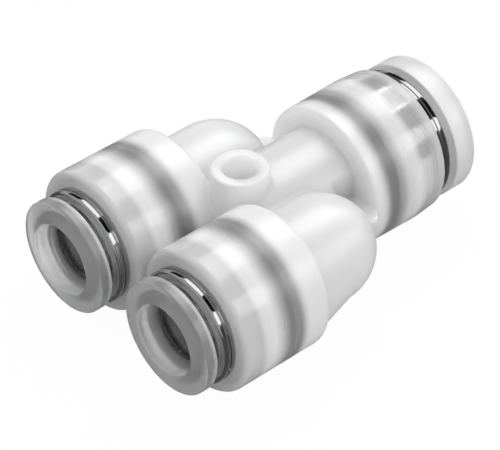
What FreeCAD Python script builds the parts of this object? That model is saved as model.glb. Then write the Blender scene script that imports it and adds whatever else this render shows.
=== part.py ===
"""Push-in Y connector for plastic tube: one large port, two small ports, a post with a mounting hole.

Millimetres. The origin is on the mounting hole's axis, in the plane of the three tube axes.
+X points out of the main port, +Y to the left branch port, +Z up along the mounting hole.
"""

import FreeCAD, Part
import math
import os

import Sketcher

PARTS_FOLDER = "parts"
FULL_TURN = 360.0
HALF_TURN = 180.0

# Driving sizes, in millimetres, degrees or counts.
SIZES = [
    ("branch_tube_radius", 3.0, "outside of the tube that the two small ports take"),
    ("main_tube_radius", 4.0, "outside of the tube that the large port takes"),
    ("tube_play", 0.06, "radial play between a tube and its socket"),
    ("sleeve_play", 0.1, "radial play between a tube and the release sleeve"),
    ("stack_play", 0.03, "axial play between neighbours inside a port"),
    ("bore_play", 0.02, "radial play of the pieces seated in a port's bore"),
    ("slide_play", 0.15, "radial play of a release sleeve in its collar"),
    ("branch_spacing", 14.36, "between the axes of the two small ports"),
    ("branch_mouth_reach", 11.73, "from the mounting hole's axis to the small ports' mouths"),
    ("main_mouth_reach", 19.37, "from the mounting hole's axis to the large port's mouth"),
    ("branch_wall", 1.73, "small ports' wall round the collar's skirt"),
    ("main_wall", 0.9, "large port's wall round the collar's skirt"),
    ("branch_shell_tail", 2.88, "small ports' shell behind the seal's chamber"),
    ("main_step_wall", 1.63, "from the large seal's chamber to the step face"),
    ("branch_mouth_round", 0.6, "rounding of the small ports' front edge"),
    ("main_taper_length", 2.6, "taper at the large port's mouth"),
    ("main_swell", 0.14, "how far the large port widens from the step face to its taper"),
    ("main_taper_drop", 0.2, "how far the large port tapers in at its mouth"),
    ("main_rim_round", 0.12, "rounding of the large port's step edge"),
    ("branch_end_round", 0.75, "rounding of the small ports' back edge"),
    ("channel_radius_outside", 5.2, "outside of the blind channel ends behind the small ports"),
    ("channel_end_reach", 8.72, "from the mounting hole's axis to the tip of the channel ends"),
    ("channel_end_length", 5.6, "length of the domed tip"),
    ("neck_radius", 5.3, "outside of the neck behind the large port"),
    ("neck_flat_width", 8.3, "across the flats of the neck beside the step face"),
    ("neck_flat_length", 2.75, "length of those flats from the step face"),
    ("web_thickness", 1.2, "plate in the plane of the axes"),
    ("web_reach", 8.1, "from the main axis to the web's outer edge"),
    ("web_corner", 0.35, "cut corner of the web at the step face"),
    ("web_setback", 1.2, "web's front edge behind the small ports' mouths"),
    ("post_radius", 2.76, "post round the mounting hole"),
    ("post_height", 14.0, "post, from face to face"),
    ("mount_hole_radius", 1.6, "mounting hole"),
    ("branch_flow_radius", 2.0, "small flow channels and the cross channel"),
    ("main_flow_radius", 2.8, "large flow channel"),
    ("cross_reach", 4.75, "from the mounting hole's axis to the cross channel"),
    ("main_flow_end", 3.0, "from the mounting hole's axis to the large channel's blind end"),
    ("branch_socket_length", 3.0, "small ports' tube socket"),
    ("main_socket_length", 1.5, "large port's tube socket"),
    ("branch_head_step", 0.3, "small collars' head beyond their skirt"),
    ("main_head_step", 0.34, "large collar's head beyond its skirt"),
    ("head_length", 1.2, "exposed head of a collar"),
    ("head_round", 0.3, "rounding of a collar's front edge"),
    ("lip_thickness", 0.45, "inward lip at a collar's front"),
    ("collar_wall", 0.4, "sheet thickness of a collar's skirt"),
    ("groove_depth", 0.1, "line round a collar's head"),
    ("groove_width", 0.14, "line round a collar's head"),
    ("groove_inset", 0.45, "from a collar's shoulder to that line"),
    ("branch_skirt_length", 2.8, "small collars' skirt inside the bore"),
    ("main_skirt_length", 3.4, "large collar's skirt inside the bore"),
    ("branch_flange_stand", 1.2, "small release flange beyond the sleeve's neck"),
    ("main_flange_stand", 1.43, "large release flange beyond the sleeve's neck"),
    ("branch_flange_thickness", 1.15, "small release flange"),
    ("main_flange_thickness", 2.37, "large release flange"),
    ("flange_round", 0.4, "rounding of a release flange's front edge"),
    ("flange_crown", 0.3, "how far the flange's face rises to the funnel"),
    ("branch_release_travel", 0.8, "how far a small release sleeve pushes in"),
    ("main_release_travel", 0.5, "how far the large release sleeve pushes in"),
    ("stop_clearance", 0.05, "left in front of the collar when a sleeve is pushed in"),
    ("branch_sleeve_wall", 1.3, "small sleeve's neck"),
    ("main_sleeve_wall", 1.4, "large sleeve's neck"),
    ("funnel_flare", 0.4, "how much wider the funnel mouth is than the bore"),
    ("funnel_length", 1.3, "depth of the funnel mouth"),
    ("funnel_rim", 0.4, "flat rim round the funnel mouth"),
    ("barb_inset", 0.1, "sleeve's stop ledge behind the collar's lip"),
    ("barb_length", 0.5, "straight part of that ledge"),
    ("barb_hold", 0.2, "ledge's reach beyond the collar's lip"),
    ("nose_wall", 0.5, "sleeve's nose, at the tip"),
    ("nose_reach", 0.22, "sleeve's nose past the collar's skirt, pushed in"),
    ("finger_slot_width", 0.6, "slots that let the sleeve's nose spring"),
    ("finger_slot_start", 1.1, "slot's start behind the stop ledge"),
    ("finger_slots", 4, "count of those slots"),
    ("grip_thickness", 0.3, "grip ring's sheet"),
    ("grip_lean", 0.7, "how far the teeth lean inwards"),
    ("grip_bite", 0.08, "teeth's reach inside the tube's surface"),
    ("grip_rim", 1.0, "flat rim of the grip ring"),
    ("tooth_gap", 0.45, "slot between two teeth"),
    ("teeth", 10, "count of teeth"),
    ("branch_support_length", 0.8, "small support ring"),
    ("main_support_length", 1.1, "large support ring"),
    ("support_floor", 0.22, "support ring's floor behind the teeth"),
    ("branch_seal_section", 2.0, "small seals, from the tube's surface outwards"),
    ("main_seal_section", 1.95, "large seal, from the tube's surface outwards"),
    ("branch_seal_length", 3.2, "small seals"),
    ("main_seal_length", 2.4, "large seal"),
    ("seal_lip_inset", 0.55, "from a seal's end to the middle of its lip"),
    ("seal_lip_half", 0.35, "half the length of a lip's foot"),
    ("seal_lip_squeeze", 0.12, "seal lips' reach inside the tube's surface"),
    ("seal_body_play", 0.4, "seal's body clear of the tube"),
]

document = FreeCAD.newDocument("tubing_y_connector")
sheet = document.addObject("Spreadsheet::Sheet", "Sizes")
for row, (alias, size, note) in enumerate(SIZES, start=1):
    sheet.set(f"A{row}", alias.replace("_", " "))
    sheet.set(f"B{row}", str(size))
    sheet.setAlias(f"B{row}", alias)
    sheet.set(f"C{row}", note)
document.recompute()


def value_of(expression):
    """Number that an expression on the sheet gives."""
    result = sheet.evalExpression(expression)
    return float(getattr(result, "Value", result))


def new_body(name, place_x="0", place_y="0", turn=0.0):
    """Body of one piece, placed by expressions and turned about +Z."""
    body = document.addObject("PartDesign::Body", name)
    body.Label = name
    body.Placement = FreeCAD.Placement(
        FreeCAD.Vector(0, 0, 0), FreeCAD.Rotation(FreeCAD.Vector(0, 0, 1), turn)
    )
    body.setExpression("Placement.Base.x", place_x)
    body.setExpression("Placement.Base.y", place_y)
    return body


def origin_feature(body, role):
    """Origin plane or axis of a body, by its role."""
    return next(f for f in body.Origin.OriginFeatures if f.Role == role)


def new_sketch(body, name, plane="XY_Plane", shift_x=None, shift_y=None):
    """Sketch on an origin plane, moved along its own x or y by an expression."""
    sketch = body.newObject("Sketcher::SketchObject", name)
    sketch.AttachmentSupport = [(origin_feature(body, plane), "")]
    sketch.MapMode = "FlatFace"
    if shift_x is not None:
        sketch.setExpression("AttachmentOffset.Base.x", shift_x)
    if shift_y is not None:
        sketch.setExpression("AttachmentOffset.Base.y", shift_y)
    return sketch


def pin_point(sketch, geometry, end, corner):
    """Ties one end of a line or arc to a corner's two expressions."""
    for kind, expression, axis in (("DistanceX", corner[0], -2), ("DistanceY", corner[1], -1)):
        if expression == "0":
            sketch.addConstraint(Sketcher.Constraint("PointOnObject", geometry, end, axis))
            continue
        index = sketch.addConstraint(
            Sketcher.Constraint(kind, -1, 1, geometry, end, value_of(expression))
        )
        sketch.setExpression(f"Constraints[{index}]", expression)


def arc_between(start, finish, radius, side):
    """Arc of a circle from start to finish, centre on the left (1) or right (-1) of the way."""
    middle = (start + finish) * 0.5
    chord = finish - start
    left = FreeCAD.Vector(-chord.y, chord.x, 0).normalize()
    rise = math.sqrt(max(radius**2 - (chord.Length / 2) ** 2, 0.0))
    centre = middle + left * (side * rise)
    circle = Part.Circle(centre, FreeCAD.Vector(0, 0, 1), radius)
    from_angle = math.atan2(start.y - centre.y, start.x - centre.x)
    to_angle = math.atan2(finish.y - centre.y, finish.x - centre.x)
    if side > 0:
        return Part.ArcOfCircle(circle, from_angle, to_angle)
    return Part.ArcOfCircle(circle, to_angle, from_angle)


def draw_outline(sketch, corners):
    """Closed outline. A corner is (x, y), or (x, y, radius, side) where an arc leads to it."""
    spots = [FreeCAD.Vector(value_of(c[0]), value_of(c[1]), 0) for c in corners]
    ends = []
    for number, corner in enumerate(corners):
        start = spots[number - 1]
        if len(corner) == 2:
            geometry = sketch.addGeometry(Part.LineSegment(start, spots[number]), False)
            ends.append((geometry, 1, 2))
            continue
        radius, side = corner[2], corner[3]
        arc = arc_between(start, spots[number], value_of(radius), side)
        geometry = sketch.addGeometry(arc, False)
        ends.append((geometry, 1, 2) if side > 0 else (geometry, 2, 1))
        index = sketch.addConstraint(Sketcher.Constraint("Radius", geometry, value_of(radius)))
        sketch.setExpression(f"Constraints[{index}]", radius)
    for number, corner in enumerate(corners):
        geometry, _, finish = ends[number]
        follower, begin, _ = ends[(number + 1) % len(corners)]
        sketch.addConstraint(Sketcher.Constraint("Coincident", geometry, finish, follower, begin))
        pin_point(sketch, geometry, finish, corner)


def draw_circle(sketch, radius):
    """Circle round the sketch's origin."""
    circle = Part.Circle(FreeCAD.Vector(0, 0, 0), FreeCAD.Vector(0, 0, 1), value_of(radius))
    geometry = sketch.addGeometry(circle, False)
    sketch.addConstraint(Sketcher.Constraint("Coincident", geometry, 3, -1, 1))
    index = sketch.addConstraint(Sketcher.Constraint("Radius", geometry, value_of(radius)))
    sketch.setExpression(f"Constraints[{index}]", radius)


def turned(body, name, corners, shift_y=None, cut=False):
    """Outline turned a full circle about its sketch's x axis, added to the body or cut from it."""
    sketch = new_sketch(body, name + "_outline", shift_y=shift_y)
    draw_outline(sketch, corners)
    kind = "PartDesign::Groove" if cut else "PartDesign::Revolution"
    feature = body.newObject(kind, name)
    feature.Profile = sketch
    feature.ReferenceAxis = (sketch, ["H_Axis"])
    feature.Angle = FULL_TURN
    return feature


def plate(body, name, corners, thickness, cut=False):
    """Outline in the plane of the axes, padded or pocketed evenly to both sides."""
    sketch = new_sketch(body, name + "_outline")
    draw_outline(sketch, corners)
    feature = body.newObject("PartDesign::Pocket" if cut else "PartDesign::Pad", name)
    feature.Profile = sketch
    feature.Midplane = True
    feature.setExpression("Length", thickness)
    return feature


def round_bar(body, name, plane, radius, length, shift_x=None, cut=False):
    """Round bar or round channel through a plane, evenly to both sides."""
    sketch = new_sketch(body, name + "_outline", plane=plane, shift_x=shift_x)
    draw_circle(sketch, radius)
    feature = body.newObject("PartDesign::Pocket" if cut else "PartDesign::Pad", name)
    feature.Profile = sketch
    feature.Midplane = True
    feature.setExpression("Length", length)
    return feature


def slot_pattern(body, name, plane, corners, depth, count, reverse=False):
    """Slot cut one way from a plane and repeated round the body's x axis."""
    sketch = new_sketch(body, name + "_outline", plane=plane)
    draw_outline(sketch, corners)
    pocket = body.newObject("PartDesign::Pocket", name)
    pocket.Profile = sketch
    pocket.Reversed = reverse
    pocket.setExpression("Length", depth)
    pattern = body.newObject("PartDesign::PolarPattern", name + "_round")
    pattern.Originals = [pocket]
    pattern.Axis = (origin_feature(body, "X_Axis"), [""])
    pattern.Angle = FULL_TURN
    pattern.setExpression("Occurrences", count)
    body.Tip = pattern
    return pattern


class Port:
    """One port: its own sizes by prefix, and where its pieces lie along its axis."""

    def __init__(self, name, kind, side_y, outward):
        self.name = name
        self.kind = kind
        self.side_y = side_y
        self.outward = outward

    def size(self, word):
        """Expression for this kind of port's own size."""
        return f"Sizes.{self.kind}_{word}"

    def body(self, word, inset):
        """Body whose local x runs inwards from a point that lies inset behind the mouth."""
        reach = f"{self.outward} * ({self.size('mouth_reach')} - ({inset}))"
        turn = HALF_TURN if self.outward > 0 else 0.0
        return new_body(f"{self.name}_{word}", reach, self.side_y, turn)


def sleeve_bore(port):
    """Inside of a release sleeve."""
    return f"({port.size('tube_radius')} + Sizes.sleeve_play)"


def sleeve_neck(port):
    """Outside of a release sleeve's neck."""
    return f"({sleeve_bore(port)} + {port.size('sleeve_wall')})"


def lip_radius(port):
    """Inside of a collar's lip, round the sleeve's neck."""
    return f"({sleeve_neck(port)} + Sizes.slide_play)"


def barb_radius(port):
    """Outside of a sleeve's stop ledge, which the collar's lip holds."""
    return f"({lip_radius(port)} + Sizes.barb_hold)"


def skirt_inside(port):
    """Inside of a collar's skirt, round the stop ledge."""
    return f"({barb_radius(port)} + Sizes.slide_play)"


def skirt_radius(port):
    """Outside of a collar's skirt."""
    return f"({skirt_inside(port)} + Sizes.collar_wall)"


def shell_radius(port):
    """Outside of the housing round a port."""
    return f"({skirt_radius(port)} + Sizes.bore_play + {port.size('wall')})"


def seal_radius(port):
    """Outside of a seal and of its support ring."""
    return f"({port.size('tube_radius')} + {port.size('seal_section')})"


def collar(port):
    """Stainless collar: an exposed head with an inward lip, and a skirt inside the bore."""
    body = port.body("retaining_collar", "-Sizes.head_length")
    skirt = skirt_radius(port)
    head = f"({skirt} + {port.size('head_step')})"
    lip = lip_radius(port)
    length = f"Sizes.head_length + {port.size('skirt_length')}"
    inside = skirt_inside(port)
    turned(body, port.name + "_collar_form", [
        ("0", lip),
        ("0", f"{head} - Sizes.head_round"),
        ("Sizes.head_round", head, "Sizes.head_round", -1),
        (groove_start(), head),
        (groove_start(), f"{head} - Sizes.groove_depth"),
        (f"{groove_start()} + Sizes.groove_width", f"{head} - Sizes.groove_depth"),
        (f"{groove_start()} + Sizes.groove_width", head),
        ("Sizes.head_length", head),
        ("Sizes.head_length", skirt),
        (length, skirt),
        (length, inside),
        ("Sizes.lip_thickness", inside),
        ("Sizes.lip_thickness", lip),
    ])
    return body


def groove_start():
    """Front edge of the line round a collar's head."""
    return "Sizes.head_length - Sizes.groove_inset - Sizes.groove_width"


def release_gap(port):
    """Between a sleeve's flange and its collar at rest."""
    return f"{port.size('release_travel')} + Sizes.stop_clearance"


def release_sleeve(port):
    """Release sleeve: flange with a funnel mouth, neck, stop ledge and a slotted nose."""
    stand_out = f"Sizes.head_length + {release_gap(port)} + {port.size('flange_thickness')}"
    body = port.body("release_sleeve", f"-({stand_out} + Sizes.flange_crown)")
    bore_radius = sleeve_bore(port)
    neck = sleeve_neck(port)
    flange = f"({neck} + {port.size('flange_stand')})"
    barb = barb_radius(port)
    funnel = f"{bore_radius} + Sizes.funnel_flare"
    flange_back = f"Sizes.flange_crown + {port.size('flange_thickness')}"
    ledge = f"{flange_back} + {release_gap(port)} + Sizes.lip_thickness + Sizes.barb_inset"
    tip = (
        f"Sizes.flange_crown + {port.size('flange_thickness')} + Sizes.head_length"
        f" + {port.size('skirt_length')} + Sizes.nose_reach"
    )
    turned(body, port.name + "_sleeve_form", [
        ("0", funnel),
        ("0", f"{funnel} + Sizes.funnel_rim"),
        ("Sizes.flange_crown", f"{flange} - Sizes.flange_round"),
        ("Sizes.flange_crown + Sizes.flange_round", flange, "Sizes.flange_round", -1),
        (flange_back, flange),
        (flange_back, neck),
        (ledge, neck),
        (ledge, barb),
        (f"{ledge} + Sizes.barb_length", barb),
        (tip, f"{bore_radius} + Sizes.nose_wall"),
        (tip, bore_radius),
        ("Sizes.funnel_length", bore_radius),
    ])
    slot_start = f"{ledge} + Sizes.finger_slot_start"
    half = "Sizes.finger_slot_width / 2"
    slot_pattern(body, port.name + "_sleeve_slot", "XY_Plane", [
        (slot_start, f"-({half})"),
        (f"{tip} + Sizes.finger_slot_width", f"-({half})"),
        (f"{tip} + Sizes.finger_slot_width", half),
        (slot_start, half),
    ], barb, "Sizes.finger_slots")
    return body


def grip_depth(port):
    """Front of the grip ring, behind the mouth."""
    return f"{port.size('skirt_length')} + Sizes.stack_play"


def support_depth(port):
    """Front of the support ring, behind the mouth."""
    return f"{grip_depth(port)} + Sizes.grip_thickness + Sizes.stack_play"


def seal_depth(port):
    """Front of the seal, behind the mouth."""
    return f"{support_depth(port)} + {port.size('support_length')} + Sizes.stack_play"


def chamber_depth(port):
    """Floor of the seal's chamber, behind the mouth."""
    return f"{seal_depth(port)} + {port.size('seal_length')} + Sizes.stack_play"


def socket_depth(port):
    """Tube stop, behind the mouth."""
    return f"{chamber_depth(port)} + {port.size('socket_length')}"


def grip_ring(port):
    """Stainless grip ring: a flat rim and a cone cut into teeth that lean inwards."""
    body = port.body("grip_ring", grip_depth(port))
    rim = skirt_radius(port)
    cone = f"{rim} - Sizes.grip_rim"
    tooth = f"{port.size('tube_radius')} - Sizes.grip_bite"
    turned(body, port.name + "_grip_form", [
        ("0", cone),
        ("0", rim),
        ("Sizes.grip_thickness", rim),
        ("Sizes.grip_thickness", cone),
        ("Sizes.grip_lean + Sizes.grip_thickness", tooth),
        ("Sizes.grip_lean", tooth),
    ])
    half = "Sizes.tooth_gap / 2"
    slot_pattern(body, port.name + "_tooth_gap", "YZ_Plane", [
        (f"-({half})", f"{tooth} - Sizes.tooth_gap"),
        (half, f"{tooth} - Sizes.tooth_gap"),
        (half, cone),
        (f"-({half})", cone),
    ], "Sizes.grip_lean + 2 * Sizes.grip_thickness", "Sizes.teeth", reverse=True)
    return body


def support_ring(port):
    """Support ring: backs the seal and leaves a cone free for the grip ring's teeth."""
    body = port.body("support_ring", support_depth(port))
    outside = seal_radius(port)
    cone = f"{skirt_radius(port)} - Sizes.grip_rim + Sizes.slide_play"
    length = port.size("support_length")
    inside = f"{port.size('tube_radius')} + Sizes.seal_body_play"
    turned(body, port.name + "_support_form", [
        ("0", cone),
        ("0", outside),
        (length, outside),
        (length, inside),
        (f"{length} - Sizes.support_floor", inside),
    ])
    return body


def seal(port):
    """Elastomer seal: a solid ring with two lips that close on the tube."""
    body = port.body("seal", seal_depth(port))
    outside = seal_radius(port)
    length = port.size("seal_length")
    lip = f"{port.size('tube_radius')} - Sizes.seal_lip_squeeze"
    inside = f"{port.size('tube_radius')} + Sizes.seal_body_play"
    turned(body, port.name + "_seal_form", [
        ("0", inside),
        ("0", outside),
        (length, outside),
        (length, inside),
        (f"{length} - Sizes.seal_lip_inset + Sizes.seal_lip_half", inside),
        (f"{length} - Sizes.seal_lip_inset", lip),
        (f"{length} - Sizes.seal_lip_inset - Sizes.seal_lip_half", inside),
        ("Sizes.seal_lip_inset + Sizes.seal_lip_half", inside),
        ("Sizes.seal_lip_inset", lip),
        ("Sizes.seal_lip_inset - Sizes.seal_lip_half", inside),
    ])
    return body


def bore(body, port, flow_radius, flow_end):
    """Stepped bore of one port, from the mouth to the end of its flow channel."""
    def place(depth):
        return f"{port.outward} * ({port.size('mouth_reach')} - ({depth}))"

    mouth = place("-Sizes.head_length")
    skirt = f"{skirt_radius(port)} + Sizes.bore_play"
    chamber = f"{seal_radius(port)} + Sizes.bore_play"
    socket = f"{port.size('tube_radius')} + Sizes.tube_play"
    ledge = place(f"{support_depth(port)} - Sizes.stack_play")
    floor = place(chamber_depth(port))
    stop = place(socket_depth(port))
    turned(body, port.name + "_bore", [
        (mouth, "0"),
        (mouth, skirt),
        (ledge, skirt),
        (ledge, chamber),
        (floor, chamber),
        (floor, socket),
        (stop, socket),
        (stop, flow_radius),
        (flow_end, flow_radius),
        (flow_end, "0"),
    ], shift_y=port.side_y, cut=True)


def housing(main_port, branch_ports):
    """Moulded housing: large port on a flatted neck, two small ports, web, post and channels."""
    body = new_body("housing")
    step = f"(Sizes.main_mouth_reach - ({chamber_depth(main_port)}) - Sizes.main_step_wall)"
    main_radius = shell_radius(main_port)
    main_widest = f"{main_radius} + Sizes.main_swell"
    turned(body, "main_shell", [
        ("0", "0"),
        ("0", "Sizes.neck_radius"),
        (step, "Sizes.neck_radius"),
        (step, f"{main_radius} - Sizes.main_rim_round"),
        (f"{step} + Sizes.main_rim_round", main_radius, "Sizes.main_rim_round", -1),
        ("Sizes.main_mouth_reach - Sizes.main_taper_length", main_widest),
        ("Sizes.main_mouth_reach", f"{main_widest} - Sizes.main_taper_drop"),
        ("Sizes.main_mouth_reach", "0"),
    ])
    flat = "Sizes.neck_flat_width / 2"
    for name, sign in (("left", ""), ("right", "-")):
        plate(body, name + "_neck_flat", [
            (f"{step} - Sizes.neck_flat_length", f"{sign}({flat})"),
            (step, f"{sign}({flat})"),
            (step, f"{sign}(Sizes.neck_radius + {flat})"),
            (f"{step} - Sizes.neck_flat_length", f"{sign}(Sizes.neck_radius + {flat})"),
        ], "2 * Sizes.neck_radius", cut=True)
    branch_radius = shell_radius(branch_ports[0])
    channel = "Sizes.channel_radius_outside"
    branch_length = f"{chamber_depth(branch_ports[0])} + Sizes.branch_shell_tail"
    branch_end = f"(-Sizes.branch_mouth_reach + {branch_length})"
    dome = "Sizes.channel_end_reach - Sizes.channel_end_length"
    for port in branch_ports:
        turned(body, port.name + "_shell", [
            ("-Sizes.branch_mouth_reach", "0"),
            ("-Sizes.branch_mouth_reach", f"{branch_radius} - Sizes.branch_mouth_round"),
            ("-Sizes.branch_mouth_reach + Sizes.branch_mouth_round", branch_radius,
             "Sizes.branch_mouth_round", -1),
            (f"{branch_end} - Sizes.branch_end_round", branch_radius),
            (branch_end, f"{branch_radius} - Sizes.branch_end_round",
             "Sizes.branch_end_round", -1),
            (branch_end, channel),
            (dome, channel),
            ("Sizes.channel_end_reach", "0", "Sizes.channel_end_length", -1),
        ], shift_y=port.side_y)
    web_front = "-Sizes.branch_mouth_reach + Sizes.web_setback"
    plate(body, "web", [
        ("0", "-Sizes.web_reach"),
        (f"{step} - Sizes.web_corner", "-Sizes.web_reach"),
        (f"{step} + Sizes.main_rim_round", f"-({main_radius} - Sizes.main_rim_round)"),
        (f"{step} + Sizes.main_rim_round", f"{main_radius} - Sizes.main_rim_round"),
        (f"{step} - Sizes.web_corner", "Sizes.web_reach"),
        ("0", "Sizes.web_reach"),
        (branch_end, flat),
        (web_front, flat),
        (web_front, f"-({flat})"),
        (branch_end, f"-({flat})"),
    ], "Sizes.web_thickness")
    round_bar(body, "post", "XY_Plane", "Sizes.post_radius", "Sizes.post_height")
    branch_flow_end = "Sizes.cross_reach + Sizes.branch_flow_radius"
    for port in branch_ports:
        bore(body, port, "Sizes.branch_flow_radius", branch_flow_end)
    bore(body, main_port, "Sizes.main_flow_radius", "Sizes.main_flow_end")
    round_bar(body, "cross_channel", "XZ_Plane", "Sizes.branch_flow_radius",
              "Sizes.branch_spacing", shift_x="Sizes.cross_reach", cut=True)
    round_bar(body, "mounting_hole", "XY_Plane", "Sizes.mount_hole_radius",
              "Sizes.post_height", cut=True)
    return body


main = Port("main", "main", "0", 1)
left = Port("left", "branch", "Sizes.branch_spacing / 2", -1)
right = Port("right", "branch", "-Sizes.branch_spacing / 2", -1)

pieces = [housing(main, [left, right])]
for each_port in (main, left, right):
    for make in (release_sleeve, collar, grip_ring, support_ring, seal):
        pieces.append(make(each_port))
document.recompute()

for item in document.Objects:
    if "Invalid" in item.State or "Error" in item.State:
        raise RuntimeError(f"{item.Name} did not compute: {item.State}")
for piece in pieces:
    if piece.Shape.isNull() or not piece.Shape.isValid():
        raise RuntimeError(f"{piece.Label} has no valid shape")

os.makedirs(PARTS_FOLDER, exist_ok=True)
for piece in pieces:
    piece.Shape.exportStep(os.path.join(PARTS_FOLDER, piece.Label + ".step"))
    print(f"{piece.Label}: {piece.Shape.Volume:.1f} cubic mm, {len(piece.Shape.Solids)} solid")
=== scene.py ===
"""Dresses a push-in Y connector for plastic tube: milky housing, polished collars, dark seals.

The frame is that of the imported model: the origin lies on the mounting hole's axis, +X points out of
the large port, +Y to the left small port and +Z up along the mounting hole. The sizes of pieces are
in millimetres, and places in the scene and along a finish are in metres.
"""

from __future__ import annotations

import logging
import math
from dataclasses import dataclass
from enum import Enum

import bpy
import numpy as np
from mathutils import Matrix, Vector

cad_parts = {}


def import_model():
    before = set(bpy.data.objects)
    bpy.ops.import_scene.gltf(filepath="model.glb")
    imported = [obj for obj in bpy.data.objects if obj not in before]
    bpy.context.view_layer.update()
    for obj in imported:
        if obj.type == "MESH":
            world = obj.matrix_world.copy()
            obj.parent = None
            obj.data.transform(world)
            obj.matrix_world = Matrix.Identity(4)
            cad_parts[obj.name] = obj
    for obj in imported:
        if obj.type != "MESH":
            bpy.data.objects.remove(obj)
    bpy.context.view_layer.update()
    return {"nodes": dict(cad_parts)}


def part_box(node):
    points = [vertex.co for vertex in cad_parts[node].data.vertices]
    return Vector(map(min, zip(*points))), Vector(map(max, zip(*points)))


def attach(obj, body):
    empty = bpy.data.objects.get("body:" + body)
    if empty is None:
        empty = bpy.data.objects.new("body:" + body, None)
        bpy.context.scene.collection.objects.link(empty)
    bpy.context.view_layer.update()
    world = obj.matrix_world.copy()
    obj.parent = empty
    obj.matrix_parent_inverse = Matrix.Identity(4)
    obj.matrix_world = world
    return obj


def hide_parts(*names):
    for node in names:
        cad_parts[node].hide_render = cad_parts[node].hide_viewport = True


LOG = logging.getLogger("y_connector")
MM = 0.001
# How far a seal or a support ring presses into the port's wall, in millimetres.
PRESS = 0.05
# Steps round a turned piece, and along the arc of one rounded corner.
TURN_STEPS = 160
ARC_STEPS = 6
# Share of the shorter side next to a corner that its rounding may take.
SIDE_SHARE = 0.49
# Sharpest turn between two faces that is shaded smooth, in degrees.
SMOOTH_ANGLE = 28.0
# Guard against a division by zero.
TINY = 1e-6
# The corners of a grid's cell, and a step along each of its axes.
CELL_CORNERS = [(i, j, k) for i in (0, 1) for j in (0, 1) for k in (0, 1)]
STEPS = np.eye(3, dtype=int)
Place = tuple[float, float, float]
# Where a look changes along X, in metres: start and end of the change, from -X and from +X.
Ramps = tuple[tuple[float, float], tuple[float, float]]
# Beyond the whole part, behind the flanges of small and large sleeves, and at the ports' mouths.
WHOLE: Ramps = ((-1.0, -0.9), (1.0, 0.9))
SLEEVE_RAMPS: Ramps = ((-0.0134, -0.0128), (0.0222, 0.0214))
PALE_RAMPS: Ramps = ((-0.0134, -0.0128), (0.0214, 0.0206))
MOUTH_RAMPS: Ramps = ((-0.01195, -0.01165), (0.01955, 0.01925))


class Tint(Enum):
    """Colours of the finishes, as linear red, green and blue."""

    MILKY = (0.985, 0.985, 0.985)
    MILKY_CORE = (0.86, 0.86, 0.86)
    SLEEVE = (0.91, 0.912, 0.915)
    # Painted shade: the release sleeve's neck, in the gap behind the flange and along the bore, is
    # tinted darker than the flange of the same plastic.
    SLEEVE_NECK = (0.72, 0.722, 0.725)
    STEEL = (0.9, 0.9, 0.905)
    # Painted shade: the collar's exposed lip is tinted far darker than the same steel inside the
    # housing (STEEL), so that its reflections come out dark.
    STEEL_LIP = (0.34, 0.34, 0.345)
    SPRING = (0.62, 0.62, 0.63)
    SEAL = (0.02, 0.02, 0.021)
    RING = (0.95, 0.95, 0.95)
    PAPER = (0.90, 0.90, 0.90)
    # Painted reflection: the floor's dark grey as polished metal mirrors it.
    MIRRORED = (0.16, 0.16, 0.165)

    @property
    def rgba(self) -> tuple[float, float, float, float]:
        """Colour with full opacity."""
        return (*self.value, 1.0)


class Side(Enum):
    """Which way a port opens along X."""

    FRONT = -1
    BACK = 1


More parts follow.
